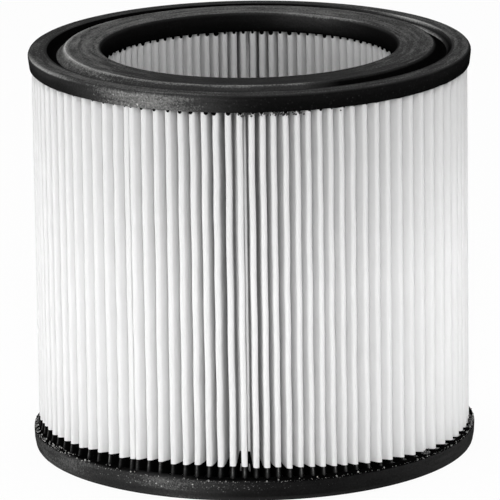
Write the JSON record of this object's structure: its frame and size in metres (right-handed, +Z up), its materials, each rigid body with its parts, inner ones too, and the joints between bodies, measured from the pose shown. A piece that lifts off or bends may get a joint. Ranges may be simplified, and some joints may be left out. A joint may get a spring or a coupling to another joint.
{
  "type": "vacuum cartridge filter",
  "caption": "Round pleated filter cartridge for a wet and dry vacuum, white folded filter sheet between two black moulded end rings with an open bore.",
  "frame": {"origin": "centre of the bottom face, on the axis of the bore", "axes": "+Z up along the axis of the cartridge, towards the grooved end; -Y towards the camera"},
  "size_m": [0.1408, 0.1408, 0.1291],
  "materials": {
    "cap_polyurethane": "matt moulded skin of foamed polyurethane, with fine bubbles",
    "filter_sheet": "white pressed fleece, matt"
  },
  "bodies": {
    "root": {"top_cap": "cap_polyurethane", "filter_media": "filter_sheet", "bottom_cap": "cap_polyurethane"}
  },
  "joints": []
}
